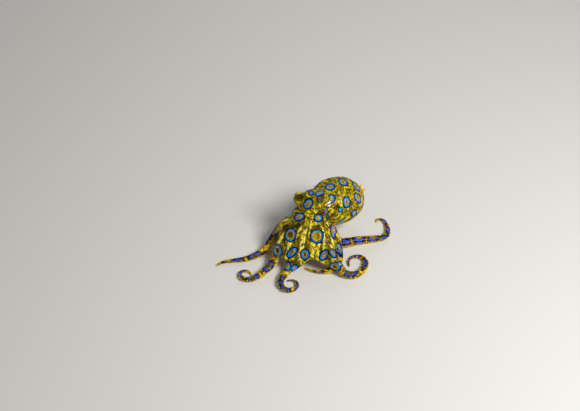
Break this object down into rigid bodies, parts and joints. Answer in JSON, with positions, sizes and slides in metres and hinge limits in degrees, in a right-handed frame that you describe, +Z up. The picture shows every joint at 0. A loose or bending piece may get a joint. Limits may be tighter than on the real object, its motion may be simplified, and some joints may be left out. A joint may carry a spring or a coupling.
{
  "type": "blue ringed octopus",
  "caption": "Small octopus standing on curled arms, with a rounded mantle, raised eyes and bright blue rings on ochre skin.",
  "frame": {"origin": "on the floor under the middle of the animal's overall box", "axes": "+Z up; the animal faces roughly towards -Y, with its left side towards +X"},
  "size_m": [0.0952, 0.0746, 0.0357],
  "materials": {
    "body_skin": "moist skin with blue rings",
    "web_skin": "moist wrinkled skin with blue rings",
    "arm_skin": "moist skin with blue rings and pale suckers",
    "siphon_skin": "moist smooth skin",
    "eyeball": "wet and glossy"
  },
  "bodies": {
    "root": {"arm_right_1_base": "arm_skin", "arm_right_1_middle": "arm_skin", "arm_right_1_outer": "arm_skin", "arm_right_1_tip": "arm_skin", "arm_right_2_base": "arm_skin", "arm_right_2_middle": "arm_skin", "arm_right_2_outer": "arm_skin", "arm_right_2_tip": "arm_skin", "arm_right_3_base": "arm_skin", "arm_right_3_middle": "arm_skin", "arm_right_3_outer": "arm_skin", "arm_right_3_tip": "arm_skin", "arm_right_4_base": "arm_skin", "arm_right_4_middle": "arm_skin", "arm_right_4_outer": "arm_skin", "arm_right_4_tip": "arm_skin", "arm_left_1_base": "arm_skin", "arm_left_1_middle": "arm_skin", "arm_left_1_outer": "arm_skin", "arm_left_1_tip": "arm_skin", "arm_left_2_base": "arm_skin", "arm_left_2_middle": "arm_skin", "arm_left_2_outer": "arm_skin", "arm_left_2_tip": "arm_skin", "arm_left_3_base": "arm_skin", "arm_left_3_middle": "arm_skin", "arm_left_3_outer": "arm_skin", "arm_left_3_tip": "arm_skin", "arm_left_4_base": "arm_skin", "arm_left_4_middle": "arm_skin", "arm_left_4_outer": "arm_skin", "arm_left_4_tip": "arm_skin", "head": "body_skin", "mantle": "body_skin", "web_front": "web_skin", "web_right_1_2": "web_skin", "web_right_2_3": "web_skin", "web_right_3_4": "web_skin", "web_back": "web_skin", "web_left_3_4": "web_skin", "web_left_2_3": "web_skin", "web_left_1_2": "web_skin", "siphon": "siphon_skin", "eye_left": "eyeball", "eye_right": "eyeball"}
  },
  "joints": []
}
